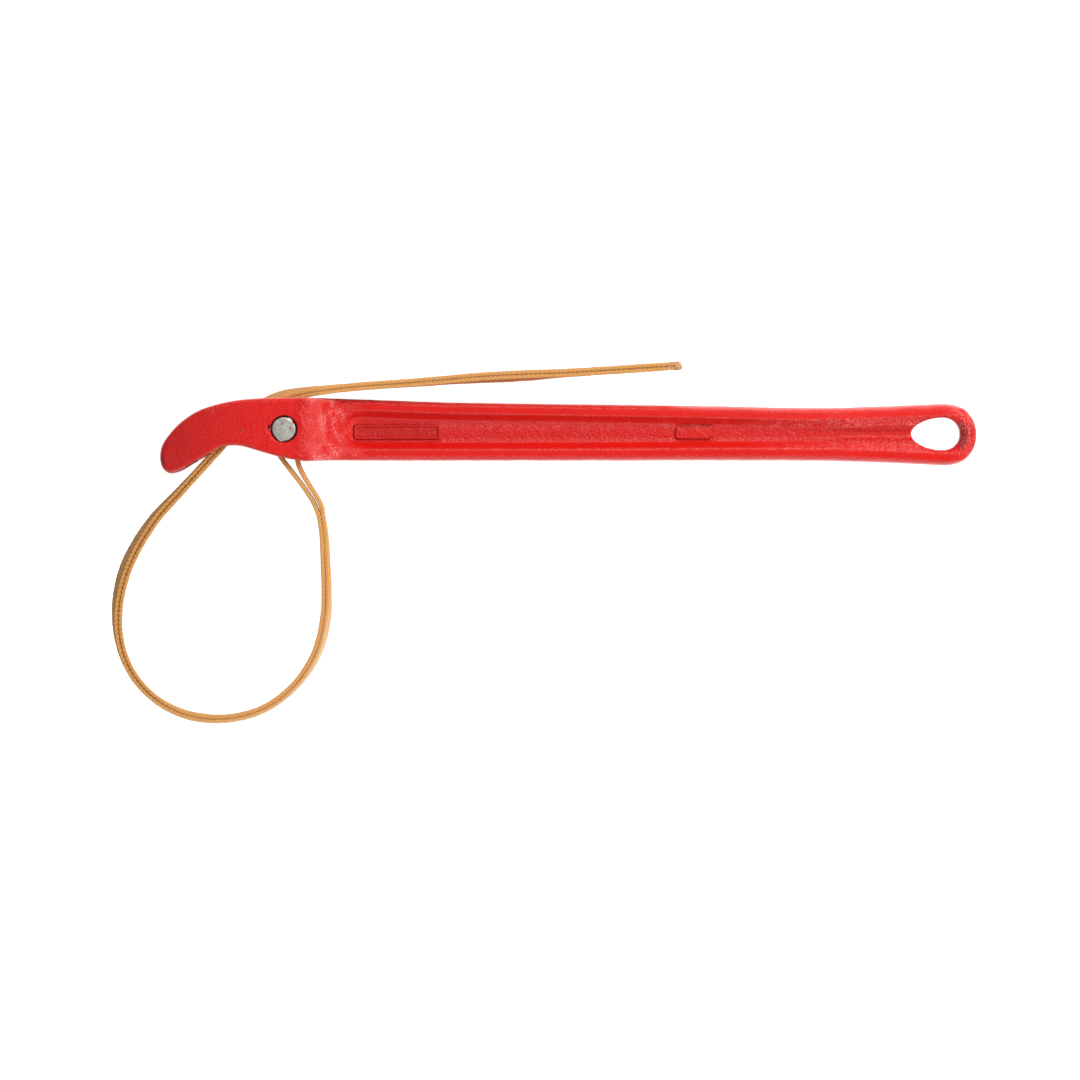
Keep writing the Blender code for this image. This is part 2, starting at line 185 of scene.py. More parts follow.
# the surroundings dim overhead and towards the nose: (from, to, strength at from, strength at to)
SKY_BY_HEIGHT = (0.05, 0.7, 0.85, 0.55)
SKY_BY_SIDE = (-0.8, 0.9, 0.5, 1.0)
BRIGHT_SIDE = (0.95, 0.15, 0.0)
# the floor is partly lit by itself, so that it stays as white as a product photo's
FLOOR_HALF = 3.0
FLOOR_GLOW = 0.88
# a long lens from high above, so that the view has next to no perspective
CAMERA_PLACE = (-0.0016, 0.0008, 6.0)
CAMERA_LENS = 545.2


# ---- lines and noise ----
def catmull_rom(points, steps):
    """A smooth line through the points, with so many steps between each two."""
    points = [np.array(p, float) for p in points]
    ends = [2 * points[0] - points[1], *points, 2 * points[-1] - points[-2]]
    line = []
    for a, b, c, d in zip(ends, ends[1:], ends[2:], ends[3:]):
        for step in range(steps):
            t = step / steps
            bend = (2 * a - 5 * b + 4 * c - d) * t * t + (3 * b - a - 3 * c + d) * t**3
            line.append(b + 0.5 * ((c - a) * t + bend))
    return np.array([*line, points[-1]])


class Path:
    """A planar line that is asked for by the length along it. It runs on straight past its ends."""

    def __init__(self, line):
        self.line = np.array(line)
        step = np.linalg.norm(np.diff(self.line, axis=0), axis=1)
        self.along = np.concatenate([[0.0], np.cumsum(step)])
        self.length = float(self.along[-1])

    def points(self, s):
        s = np.asarray(s, float)
        inside = np.stack([np.interp(s, self.along, self.line[:, i]) for i in (0, 1)], -1)
        first = self.line[0] - self.line[1]
        last = self.line[-1] - self.line[-2]
        before = np.maximum(-s, 0.0)[..., None] * first / np.linalg.norm(first)
        after = np.maximum(s - self.length, 0.0)[..., None] * last / np.linalg.norm(last)
        return inside + before + after

    def lefts(self, s):
        """Unit normals on the line's left."""
        ahead = self.points(np.asarray(s) + 0.5) - self.points(np.asarray(s) - 0.5)
        left = np.stack([-ahead[..., 1], ahead[..., 0]], -1)
        return left / np.linalg.norm(left, axis=-1, keepdims=True)

    def nearest(self, point):
        gap = np.linalg.norm(self.line - np.array(point), axis=1)
        return float(self.along[int(np.argmin(gap))])


def ease(value, low, high):
    """0 below low, 1 above high and a smooth step between."""
    share = np.clip((np.asarray(value, float) - low) / (high - low), 0.0, 1.0)
    return share * share * (3 - 2 * share)


def band(value, middle, width):
    """1 at the middle, fading to 0 at both sides."""
    return np.exp(-(((value - middle) / width) ** 2))


def wander(s, spacing, size):
    """A slow random wave along a line."""
    knots = RANDOM.uniform(-1.0, 1.0, int(np.max(s) / spacing) + 4)
    place = np.maximum(s, 0.0) / spacing
    below = np.floor(place).astype(int)
    share = ease(place - below, 0.0, 1.0)
    return size * (knots[below] * (1 - share) + knots[below + 1] * share)


def throat_arc(steps=5):
    """Points on the strap's arc through the head."""
    ahead = np.array([math.cos(THROAT_HEADING), math.sin(THROAT_HEADING)])
    left = np.array([-ahead[1], ahead[0]])
    centre = np.array(THROAT_ENTRY) + ahead * THROAT_STRAIGHT - left * THROAT_RADIUS
    headings = [THROAT_HEADING - THROAT_TURN * step / steps for step in range(steps + 1)]
    return [centre + THROAT_RADIUS * np.array([-math.sin(h), math.cos(h)]) for h in headings]


# ---- materials ----
class Shader:
    """One material's nodes, added one at a time."""

    def __init__(self, name):
        self.material = bpy.data.materials.new(name)
        self.material.use_nodes = True
        self.tree = self.material.node_tree
        self.surface = self.tree.nodes["Principled BSDF"]
        self.place = self.add("ShaderNodeTexCoord").outputs["Object"]

    def add(self, kind, values=(), **settings):
        node = self.tree.nodes.new(kind)
        for name, value in settings.items():
            setattr(node, name, value)
        for name, value in dict(values).items():
            self.put(node.inputs[name], value)
        return node

    def put(self, socket, value):
        if isinstance(value, bpy.types.NodeSocket):
            self.tree.links.new(value, socket)
        else:
            socket.default_value = value

    def set(self, name, value):
        self.put(self.surface.inputs[name], value)

    def maths(self, operation, a, b=0.0, c=0.0):
        return self.add("ShaderNodeMath", {0: a, 1: b, 2: c}, operation=operation).outputs[0]

    def noise(self, scale, detail=2.0, roughness=0.5, vector=None):
        values = {"Vector": vector or self.place, "Scale": scale, "Detail": detail, "Roughness": roughness}
        return self.add("ShaderNodeTexNoise", values).outputs[0]

    def remap(self, value, low, high, to_low=0.0, to_high=1.0):
        """to_low where the value is under low, to_high where it is over high, smooth between."""
        values = {"Value": value, "From Min": low, "From Max": high, "To Min": to_low, "To Max": to_high}
        return self.add("ShaderNodeMapRange", values, interpolation_type="SMOOTHSTEP").outputs[0]

    def mix(self, share, first, second):
        """The first colour with this share of the second laid over it."""
        node = self.add("ShaderNodeMix", data_type="RGBA")
        factor, below, above, result = node.inputs[0], node.inputs[6], node.inputs[7], node.outputs[2]
        for socket, value in ((factor, share), (below, first), (above, second)):
            self.put(socket, (*value, 1.0) if isinstance(value, tuple) else value)
        return result

    def attribute(self, name):
        return self.add("ShaderNodeAttribute", attribute_name=name).outputs["Fac"]

    def axis(self, index):
        return self.add("ShaderNodeSeparateXYZ", {0: self.place}).outputs[index]

    def spot(self, point, radius, soft=0.4, wobble=0.25):
        """1 at a point given in millimetres from the pin, fading to 0 over a ragged edge."""
        centre = tuple((np.array(point) + PIN_CENTRE) * MM)
        offset = self.add("ShaderNodeVectorMath", {0: self.place, 1: centre}, operation="DISTANCE")
        sway = wobble * radius * MM
        ragged = self.maths("MULTIPLY_ADD", self.noise(1500, 2), 2 * sway, -sway)
        distance = self.maths("ADD", offset.outputs["Value"], ragged)
        return self.remap(distance, radius * MM, radius * MM * (1 - soft))

    def bump(self, height, distance):
        """A normal for relief that rises by this many millimetres where the height is 1."""
        return self.add("ShaderNodeBump", {"Height": height, "Distance": distance * MM}).outputs[0]


def red_paint():
    paint = Shader("red_paint")
    grain = paint.attribute("grain")
    painted_shade = paint.attribute("painted_shade")
    coarse = paint.noise(430, 2, 0.5)
    fine = paint.noise(1000, 3, 0.65)
    patches = paint.noise(70, 3, 0.55)
    # painted shade: the paint turns darker towards the nose, where the light falls off, mixed with random
    # patches of tone
    to_nose = paint.remap(paint.axis(0), (PIN_CENTRE[0] - 50) * MM, (PIN_CENTRE[0] - 5) * MM)
    tone_and_shade = paint.maths("ADD", paint.maths("MULTIPLY", patches, 0.3), paint.maths("MULTIPLY", to_nose, 0.7))
    colour = paint.mix(tone_and_shade, (0.39, 0.003, 0.0025), (0.735, 0.006, 0.003))
    freckles = paint.remap(paint.noise(900, 2, 0.6), 0.60, 0.72)
    colour = paint.mix(paint.maths("MULTIPLY", freckles, 0.25), colour, (0.45, 0.003, 0.003))
    # painted shade: darker in the bore's gap, at the ring's inner end, on the web, round the plates, in
    # the stake mark and at the nose
    colour = paint.mix(painted_shade, colour, (0.10, 0.006, 0.004))
    # painted glints: pale pink specks where the cast skin is coarse
    speck = paint.remap(paint.noise(1900, 2, 0.6), 0.46, 0.66)
    glinting = paint.maths("MULTIPLY", paint.attribute("painted_glints"), speck)
    colour = paint.mix(glinting, colour, (0.90, 0.33, 0.31))
    # painted highlight: pale reflections along the rounded edges
    colour = paint.mix(paint.attribute("edge_highlight"), colour, (0.93, 0.30, 0.27))
    for x, y in CHIPS:
        chip = paint.spot((x, y, HALF_HEAD), 0.45)
        rim = paint.spot((x + 0.15, y - 0.15, HALF_HEAD), 0.7)
        colour = paint.mix(paint.maths("MULTIPLY", rim, 0.4), colour, (0.70, 0.10, 0.06))
        colour = paint.mix(paint.maths("MULTIPLY", chip, 0.8), colour, (0.12, 0.008, 0.005))
    paint.set("Base Color", colour)
    paint.set("Roughness", paint.remap(grain, 0.3, 1.0, 0.33, 0.22))
    paint.set("Specular IOR Level", 0.4)
    rough = paint.maths("ADD", fine, paint.maths("MULTIPLY", coarse, 0.5))
    paint.set("Normal", paint.bump(paint.maths("MULTIPLY", grain, rough), 0.55))
    return paint.material


def pin_steel():
    steel = Shader("pin_steel")
    mottle = steel.noise(420, 4, 0.65)
    colour = steel.mix(steel.remap(mottle, 0.3, 0.7), (0.36, 0.36, 0.33), (0.62, 0.61, 0.56))
    top = PIN_HIGH[2] / MM - PIN_CENTRE[2]
    for x, y, radius in PAINT_SPOTS:
        colour = steel.mix(steel.spot((x, y, top), radius), colour, (0.55, 0.075, 0.02))
    for x, y, radius in YELLOW_STAINS:
        colour = steel.mix(steel.spot((x, y, top), radius, soft=0.8), colour, (0.50, 0.42, 0.16))
    x, y, radius = PAINTED_RIM
    colour = steel.mix(steel.spot((x, y, top), radius), colour, (0.50, 0.03, 0.02))
    steel.set("Base Color", colour)
    steel.set("Metallic", steel.remap(mottle, 0.3, 0.7, 0.55, 0.75))
    steel.set("Roughness", steel.remap(steel.noise(900, 3), 0.3, 0.7, 0.38, 0.55))
    steel.set("Normal", steel.bump(steel.noise(700, 3, 0.6), 0.08))
    return steel.material


def webbing():
    cloth = Shader("webbing")
    height = cloth.attribute("weave")
    along = cloth.attribute("along")
    across = cloth.attribute("across")
    lay = cloth.add("ShaderNodeCombineXYZ", {0: along, 1: across}).outputs[0]
    slanted = cloth.maths("MULTIPLY_ADD", across, 0.55, along)
    strands = cloth.maths("SINE", cloth.maths("MULTIPLY", slanted, 2 * math.pi / STRAND_PITCH))
    strands = cloth.maths("ADD", strands, cloth.noise(6.0, 3, 0.6, lay))
    yarn = cloth.noise(0.5, 2, 0.6, lay)
    # painted shade: the weave's hollows darker than its crowns
    raised = cloth.remap(height, 0.25, 0.95)
    colour = cloth.mix(raised, (0.46, 0.185, 0.036), (0.82, 0.41, 0.135))
    pale = cloth.maths("MULTIPLY", cloth.remap(yarn, 0.4, 0.75), 0.45)
    colour = cloth.mix(pale, colour, (0.80, 0.42, 0.155))
    fleck = cloth.remap(cloth.noise(2.1, 3, 0.6, lay), 0.42, 0.7)
    colour = cloth.mix(cloth.maths("MULTIPLY", fleck, 0.22), colour, (0.50, 0.19, 0.04))
    # painted shade: dark dashes in the groove between the plies
    groove_shade = cloth.maths("MULTIPLY", cloth.attribute("groove"), 0.9)
    colour = cloth.mix(groove_shade, colour, (0.30, 0.085, 0.012))
    # painted shade on the loop's unlit outside, broken by the fill threads
    fill = cloth.maths("SINE", cloth.maths("MULTIPLY", along, 2 * math.pi / FILL_PITCH))
    fill = cloth.maths("MULTIPLY_ADD", fill, 0.32, 0.68)
    outside_shade = cloth.maths("MULTIPLY", cloth.attribute("outside_shade"), fill)
    colour = cloth.mix(outside_shade, colour, (0.23, 0.105, 0.013))
    # painted highlight: the loop's outside that faces the light turns pale
    colour = cloth.mix(cloth.attribute("outside_highlight"), colour, (0.86, 0.62, 0.42))
    cloth.set("Base Color", colour)
    cloth.set("Roughness", cloth.remap(yarn, 0.3, 0.7, 0.72, 0.88))
    cloth.set("Specular IOR Level", 0.2)
    cloth.set("Normal", cloth.bump(strands, 0.035))
    return cloth.material


def sealed_webbing():
    seal = Shader("webbing_seal")
    melt = seal.noise(380, 4, 0.6)
    colour = seal.mix(seal.remap(melt, 0.35, 0.7), (0.40, 0.17, 0.05), (0.80, 0.47, 0.22))
    colour = seal.mix(seal.spot(PALE_CORNER, 2.0, soft=0.7), colour, (0.88, 0.70, 0.50))
    seal.set("Base Color", colour)
    seal.set("Roughness", seal.remap(melt, 0.3, 0.7, 0.45, 0.65))
    seal.set("Normal", seal.bump(seal.noise(900, 3), 0.12))
    return seal.material


# ---- meshes ----
def to_metres(points):
    return (np.asarray(points, float) + PIN_CENTRE) * MM


def keep_values(mesh, values):
    """Keeps a number at each point, under each name, for the mesh's material to read."""
    for key, numbers in values.items():
        attribute = mesh.attributes.new(key, "FLOAT", "POINT")
        attribute.data.foreach_set("value", np.asarray(numbers, np.float32).ravel())


def place_object(name, data):
    made = bpy.data.objects.new(name, data)
    bpy.context.scene.collection.objects.link(made)
    return made


def mesh_object(name, points, faces, material, values):
    """A smooth object from points in millimetres from the pin."""
    mesh = bpy.data.meshes.new(name)
    mesh.from_pydata(to_metres(points).tolist(), [], faces)
    mesh.materials.append(material)
    keep_values(mesh, values)
    mesh.shade_smooth()
    return place_object(name, mesh)


class Section:
    """Points round the strap's section: down its left side from the top edge and up its right."""

    def __init__(self, half_width, half_thick, rounding):
        arc = [math.radians(90 * (step + 0.5) / EDGE_STEPS) for step in range(EDGE_STEPS)]
        reach = half_width - rounding
        face = np.linspace(reach, -reach, RIBS * SAMPLES_PER_RIB + 1)
        sine, cosine = np.sin(arc), np.cos(arc)
        out = np.concatenate([sine, np.ones(len(face)), sine[::-1]])
        rise = np.concatenate([cosine, np.zeros(len(face)), -cosine[::-1]])
        n = half_thick - rounding + rounding * out
        z = np.concatenate([reach + rounding * cosine, face, -reach - rounding * cosine[::-1]])
        across = np.concatenate([[0.0], np.cumsum(np.hypot(np.diff(n), np.diff(z)))])
        self.n = np.concatenate([n, -n[::-1]])
        self.z = np.concatenate([z, z[::-1]])
        self.out = np.concatenate([out, -out[::-1]])
        self.rise = np.concatenate([rise, rise[::-1]])
        self.across = np.concatenate([across, across[::-1]])
        self.rib = np.clip((reach - self.z) / (2 * reach), 0.0, 1.0) * RIBS
        self.edge = ease(np.abs(self.z), reach - 0.9, reach + 0.1)
        self.count = len(self.n)


def weave(phase, section):
    """Height of the woven surface, 0 to 1, in rows at these phases."""
    rib = section.rib[None, :]
    odd = np.floor(rib) % 2
    crown = np.sqrt(np.abs(np.sin(math.pi * rib)))
    beat = 0.5 + 0.5 * np.cos(2 * math.pi * (phase + 0.5 * odd))
    slant = 0.7 * section.n[None, :] / PLY
    bead = 0.15 + 0.85 * np.abs(np.cos(math.pi * (phase + slant))) ** 0.8
    edge = section.edge[None, :]
    return edge * bead + (1 - edge) * crown * (0.3 + 0.7 * beat)


def ply_grid(section, centre, normal, lean, phase, swell=None):
    """Rows of points round one ply of webbing, and the height of its weave."""
    height = weave(phase[:, None], section)
    edge = section.edge[None, :]
    amount = (0.10 + 0.12 * edge) * (height - 0.7)
    if swell is not None:
        amount = amount + swell[:, None]
    n = section.n[None, :] + section.out[None, :] * amount
    z = section.z[None, :] + section.rise[None, :] * amount
    share = 0.5 - z / STRAP_WIDTH
    flat = centre[:, None, :] + normal[:, None, :] * n[..., None]
    flat = flat + lean[:, None, :] * share[..., None]
    return np.concatenate([flat, z[..., None]], axis=-1), height


def groove_dashes(section, phase, side, share):
    """1 in the painted shade that shows as dark dashes between the two plies' edges."""
    facing = ease(-side * section.n / PLY, 0.10, 0.42)[None, :] * section.edge[None, :]
    dash = ease(0.5 + 0.5 * np.cos(2 * math.pi * (phase + 0.5)), 0.15, 0.75)[:, None]
    return facing * (0.3 + 0.7 * dash) * share[:, None]


def grid_normals(grid):
    along = np.gradient(grid, axis=0)
    around = np.roll(grid, -1, axis=1) - np.roll(grid, 1, axis=1)
    normal = np.cross(along, around)
    return normal / np.maximum(np.linalg.norm(normal, axis=-1, keepdims=True), 1e-9)


def tube_faces(rows, columns):
    """Quads round a tube, then a ladder of quads over its start and its end."""
    i, j = np.meshgrid(np.arange(rows - 1), np.arange(columns), indexing="ij")
    k = (j + 1) % columns
    near, far = i * columns, (i + 1) * columns
    sides = np.stack([near + j, far + j, far + k, near + k], -1)
    j = np.arange(columns // 2 - 1)
    rung = np.stack([j, j + 1, columns - 2 - j, columns - 1 - j], -1)
    return sides.reshape(-1, 4), rung, rung[:, ::-1] + (rows - 1) * columns


def tube_object(name, grid, normals, material, values):
    rows, columns = grid.shape[:2]
    sides, start, end = tube_faces(rows, columns)
    faces = np.concatenate([sides, start, end]).tolist()
    made = mesh_object(name, grid.reshape(-1, 3), faces, material, values)
    back = np.cross(grid[0, 1] - grid[0, 0], grid[0, -1] - grid[0, 0])
    front = -np.cross(grid[-1, 1] - grid[-1, 0], grid[-1, -1] - grid[-1, 0])
    corner = [normals.reshape(-1, 3)[sides.ravel()]]
    for normal, cap in ((back, start), (front, end)):
        corner.append(np.tile(normal / np.linalg.norm(normal), (cap.size, 1)))
    made.data.normals_split_custom_set(np.concatenate(corner).tolist())
    return made


# ---- the strap ----
def table_value(s, table, column=1):
    """What a table gives at these lengths along the strap."""
    return np.interp(s, [row[0] for row in table], [row[column] for row in table])


def stance(s):
    """Shift of the strap's upper edge and lean of its lower one, smooth along the strap."""
    shifts = []
    for column in (1, 2):
        spread = [table_value(s + d, STANCE, column) for d in (-4, -2, 0, 2, 4)]
        shifts.append(np.mean(spread, axis=0) * ease(s, -2.0, 6.0))
    return shifts


def segment_cuts(route):
    """Bodies of the strap's lengths and where each begins and ends along the route."""
    entry = route.nearest(THROAT_ENTRY) - THROAT_LEAD
    bend = route.nearest(throat_arc()[0])
    leave = route.nearest(throat_arc()[-1])
    loop = np.linspace(0.0, entry, LOOP_SEGMENTS + 1)
    tail = np.linspace(leave, route.length - SEAL, TAIL_SEGMENTS + 1)
    names = [f"loop_{i + 1:02d}" for i in range(LOOP_SEGMENTS)]
    names += ["throat_lower", "throat_upper"]
    names += [f"tail_{i + 1:02d}" for i in range(TAIL_SEGMENTS)]
    return names, np.array([*loop, bend, *tail])


def ply_rows(middles, length):
    """Lengths along the strap of a ply's rows, and how many steps each of its pieces takes."""
    step = BEAD_PITCH / ROWS_PER_BEAD
    ends = [*middles[:-1], length - SEAL + 0.02]
    counts = [round((b - a) / step) for a, b in zip(ends, ends[1:])]
    s = [ends[0] - step * (GHOST_ROWS - i) for i in range(GHOST_ROWS)]
    for a, b, count in zip(ends, ends[1:], counts):
        s += list(a + (b - a) * np.arange(count) / count)
    return np.array(s + [ends[-1] + step * i for i in range(GHOST_ROWS + 1)]), counts


def ply_looks(s, side, section, height):
    """The numbers that the webbing's material reads, row by row."""
    twisted = table_value(s, TWISTED)[:, None]
    outside = side * section.n / PLY if side > 0 else -np.ones(section.count)
    # where the loop's outside gets its painted highlight
    pale = band(s, 62.0, 45.0) * ease(s, 18.0, 50.0)
    return {
        "weave": 1 - (1 - height) * (twisted * section.edge + 1 - section.edge),
        "groove": groove_dashes(section, s / BEAD_PITCH, side, table_value(s, GROOVE_SHADING)),
        # painted shade on the loop's unlit outside
        "outside_shade": ease(outside, 0.30, 0.48)[None, :] * table_value(s, OUTSIDE_SHADING)[:, None],
        "outside_highlight": ease(outside, 0.14, 0.34)[None, :] * pale[:, None] * 0.6,
        "along": np.repeat(s[:, None], section.count, axis=1),
        "across": np.tile(section.across, (len(s), 1)),
    }


def make_ply(name, side, route, names, cuts, section, cloth):
    """One ply from the middle of its first length to the tip, in pieces that each cross one hinge."""
    middles = (cuts[:-1] + cuts[1:]) / 2
    s, counts = ply_rows(middles, route.length)
    lefts = route.lefts(s)
    shift, lean = stance(s)
    centre = route.points(s) + lefts * (PLY_OFFSET * side + shift)[:, None]
    swell = wander(s, 1.9, 0.05) * ease(s, 14.0, 24.0)
    if side < 0:
        swell = swell - NICK[1] * band(s, route.length - NICK[0], NICK[2])
    grid, height = ply_grid(section, centre, lefts, lefts * lean[:, None], s / BEAD_PITCH, swell)
    normals = grid_normals(grid)
    looks = ply_looks(s, side, section, height)
    first = GHOST_ROWS
    for k, count in enumerate(counts):
        part = slice(first, first + count + 1)
        first += count
        values = {key: numbers[part] for key, numbers in looks.items()}
        piece = tube_object(f"{name}_{k + 1:02d}", grid[part], normals[part], cloth, values)
        start = route.points(middles[k] + 1.0)
        end = route.points(middles[k + 1] - 1.0)
        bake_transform(piece)
        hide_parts(f"{names[k + 1]}_{name}_ply")


def eye_path(route, near):
    """The single ply's line: back along the inner ply, round the pin and out along the outer ply."""
    shift, _ = stance(near)
    inner = route.points(near) + route.lefts(near) * (shift - PLY_OFFSET)[:, None]
    outer = route.points(near) + route.lefts(near) * (shift + PLY_OFFSET)[:, None]
    origin = np.array([0.0])
    ends = [(route.points(origin) + route.lefts(origin) * PLY_OFFSET * side)[0] for side in (-1, 1)]
    turn = catmull_rom([ends[0], *EYE_ROUTE, ends[1]], EYE_STEPS)
    path = Path(np.concatenate([inner[::-1], turn, outer]))
    line = path.points(np.arange(0.0, path.length, 0.15))
    weights = np.hanning(15)
    weights = weights / weights.sum()
    smooth = np.stack([np.convolve(line[:, i], weights, "same") for i in (0, 1)], -1)
    smooth[:8], smooth[-8:] = line[:8], line[-8:]
    return Path(smooth)


def make_eye(route, cuts, section, cloth):
    """The ply round the pin, with the first stretch of both plies that it runs into."""
    reach = (cuts[0] + cuts[1]) / 2
    near = np.arange(0.6, reach + 2.0, 0.3)
    path = eye_path(route, near)
    spare = float(near[-1]) - reach
    length = path.length - 2 * spare
    turns = round((length - 2 * reach) / BEAD_PITCH)
    rate = (2 * reach / BEAD_PITCH + turns) / length
    count = round(length * rate * ROWS_PER_BEAD)
    t = spare + length * np.arange(-GHOST_ROWS, count + GHOST_ROWS + 1) / count
    to_start = t - spare
    to_end = length - to_start
    phase = to_start * rate - reach / BEAD_PITCH
    along_route = np.abs(np.where(t < path.length / 2, reach - to_start, reach - to_end))
    on_route = np.minimum(to_start, to_end) < reach
    lean = route.lefts(along_route) * (stance(along_route)[1] * on_route)[:, None]
    grid, height = ply_grid(section, path.points(t), path.lefts(t), lean, phase)
    normals = grid_normals(grid)
    part = slice(GHOST_ROWS, GHOST_ROWS + count + 1)
    clean = np.zeros_like(height[part])
    values = {
        "weave": 1 - (1 - height[part]) * (1 - 0.4 * section.edge),
        "groove": clean,
        "outside_shade": clean,
        "outside_highlight": clean,
        "along": np.repeat(t[part], section.count),
        "across": np.tile(section.across, count + 1),
    }
    piece = tube_object("strap_eye_ply", grid[part], normals[part], cloth, values)
    start = route.points(-4.0)
    end = route.points(reach - 1.0)
    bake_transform(piece)
    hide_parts("strap_eye", "loop_01_inner_ply", "loop_01_outer_ply")


def make_tip(route, melted):
    """The heat-sealed end, where the two plies are fused and rounded over."""
    section = Section(STRAP_WIDTH / 2, PLY_OFFSET + PLY / 2, 0.7)
    rows = 14
    t = np.linspace(0.0, 1.0, rows)
    s = route.length - SEAL + SEAL * np.sin(t * math.pi / 2) ** 0.9
    over = np.sqrt(np.clip(1 - ease(s, route.length - 0.9, route.length) ** 2, 0.0, 1.0))
    shrink = 0.55 * (1 - over)
    groove = np.exp(-((section.n / 0.28) ** 2))[None, :] * section.edge[None, :]
    amount = -0.42 * groove * (1 - 0.7 * t[:, None]) - shrink[:, None]
    amount = amount + RANDOM.uniform(-0.05, 0.05, amount.shape)
    n = section.n[None, :] + section.out[None, :] * amount
    z = section.z[None, :] + section.rise[None, :] * amount
    lefts = route.lefts(s)
    flat = route.points(s)[:, None, :] + lefts[:, None, :] * n[..., None]
    grid = np.concatenate([flat, z[..., None]], axis=-1)
    piece = tube_object("strap_tip", grid, grid_normals(grid), melted, {})
    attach(piece, "tail_07")
    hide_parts("sealed_tip")


def make_strap():
    route = Path(catmull_rom([*LOOP_ROUTE, THROAT_ENTRY, *throat_arc(), *TAIL_ROUTE], ROUTE_STEPS))
    names, cuts = segment_cuts(route)
    section = Section(STRAP_WIDTH / 2, PLY / 2, PLY_ROUNDING)
    cloth = webbing()
    make_eye(route, cuts, section, cloth)
    make_ply("inner", -1, route, names, cuts, section, cloth)
    make_ply("outer", 1, route, names, cuts, section, cloth)
    make_tip(route, sealed_webbing())


# ---- the pin ----
def make_pin():
    top = (PIN_HIGH[2] - PIN_LOW[2]) / 2 / MM
    radius = (PIN_HIGH[0] - PIN_LOW[0]) / 2 / MM + 0.05
    crown = top + 0.14
    dome = [(radius * 0.92 * k / 6, crown - 0.16 * (k / 6) ** 2) for k in range(1, 7)]
    rim = [(radius * 0.965, top - 0.10), (radius * 0.99, top - 0.24), (radius, top - 0.5)]
    profile = dome + rim
    profile = profile + [(r, -z) for r, z in reversed(profile)]
    sides = 96
    turn = 2 * math.pi * np.arange(sides) / sides
    points = [(r * math.cos(a), r * math.sin(a), z) for r, z in profile for a in turn]
    points += [(0.0, 0.0, crown), (0.0, 0.0, -crown)]
    faces = []
    for i in range(len(profile) - 1):
        for j in range(sides):
            k = (j + 1) % sides
            faces.append((i * sides + j, (i + 1) * sides + j, (i + 1) * sides + k, i * sides + k))
    last = (len(profile) - 1) * sides
    for j in range(sides):
        k = (j + 1) % sides
        faces.append((j, k, len(points) - 2))
        faces.append((last + k, last + j, len(points) - 1))
    piece = mesh_object("cross_pin", points, faces, pin_steel(), {})
    piece.data.set_sharp_from_angle(angle=math.radians(35))
    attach(piece, "handle")
    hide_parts("pin")


# ---- the casting ----
def rounded_gap(x, y, plate):
    """Signed distance from a rounded rectangle's outline, negative inside."""
    (cx, cy), (width, depth), corner = plate
    dx = np.abs(x - cx) - width / 2 + corner
    dy = np.abs(y - cy) - depth / 2 + corner
    return np.hypot(np.maximum(dx, 0), np.maximum(dy, 0)) + np.minimum(np.maximum(dx, dy), 0) - corner


def vertex_array(mesh):
    """The mesh's points, in millimetres from the pin."""
    co = np.empty(len(mesh.vertices) * 3)
    mesh.vertices.foreach_get("co", co)
    return co.reshape(-1, 3) / MM - PIN_CENTRE


def edge_array(mesh):
    edges = np.empty(len(mesh.edges) * 2, int)
    mesh.edges.foreach_get("vertices", edges)
    return edges.reshape(-1, 2)


def normal_array(mesh):
    normals = np.empty(len(mesh.vertices) * 3)
    mesh.vertex_normals.foreach_get("vector", normals)
    return normals.reshape(-1, 3)


def noise_at(points, size):
    """Random numbers, -1 to 1, that change over this many millimetres."""
    return np.array([noise.noise(Vector(p) / size) for p in points])


def fine_copy(node):
    """The node's surface remade in small even quads."""
    shape = place_object("casting_source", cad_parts[node].data.copy())
    weld = shape.modifiers.new("weld", "WELD")
    weld.merge_threshold = 0.00002
    remesh = shape.modifiers.new("remesh", "REMESH")
    remesh.mode = "VOXEL"
    remesh.voxel_size = VOXEL * MM
    bpy.context.view_layer.update()
    made = shape.evaluated_get(bpy.context.evaluated_depsgraph_get())
    mesh = bpy.data.meshes.new_from_object(made)
    bpy.data.objects.remove(shape)
    return mesh


def cut_finer(mesh):
    """Cuts the quads round the web's plates in three each way, so that the plates' steps are crisp."""
    x, y, z = vertex_array(mesh).T
    near_plates = np.minimum(rounded_gap(x, y, PLATE), rounded_gap(x, y, PAD)) < 1.1
    marked = near_plates & (np.abs(z) < BELOW_FLANGE)
    shape = bmesh.new()
    shape.from_mesh(mesh)
    shape.verts.ensure_lookup_table()
    inner = [e for e in shape.edges if marked[e.verts[0].index] and marked[e.verts[1].index]]
    bmesh.ops.subdivide_edges(shape, edges=inner, cuts=2, use_grid_fill=True)
    shape.to_mesh(mesh)
    shape.free()


def smooth_points(points, edges, weight, rounds):
    """Each point moves half way to its neighbours' middle, as much as its weight says."""
    count = np.bincount(edges.ravel(), minlength=len(points))[:, None]
    for _ in range(rounds):
        total = np.zeros_like(points)
        np.add.at(total, edges[:, 0], points[edges[:, 1]])
        np.add.at(total, edges[:, 1], points[edges[:, 0]])
        points = points + 0.5 * weight[:, None] * (total / count - points)
    return points


def across_shank(x, y):
    """Distance from the shank's middle line, and the shank's half width there."""
    back, front = (np.interp(x, [s[0] for s in SHANK], [s[i] for s in SHANK]) for i in (1, 2))
    return np.abs(y - (back + front) / 2), (back - front) / 2


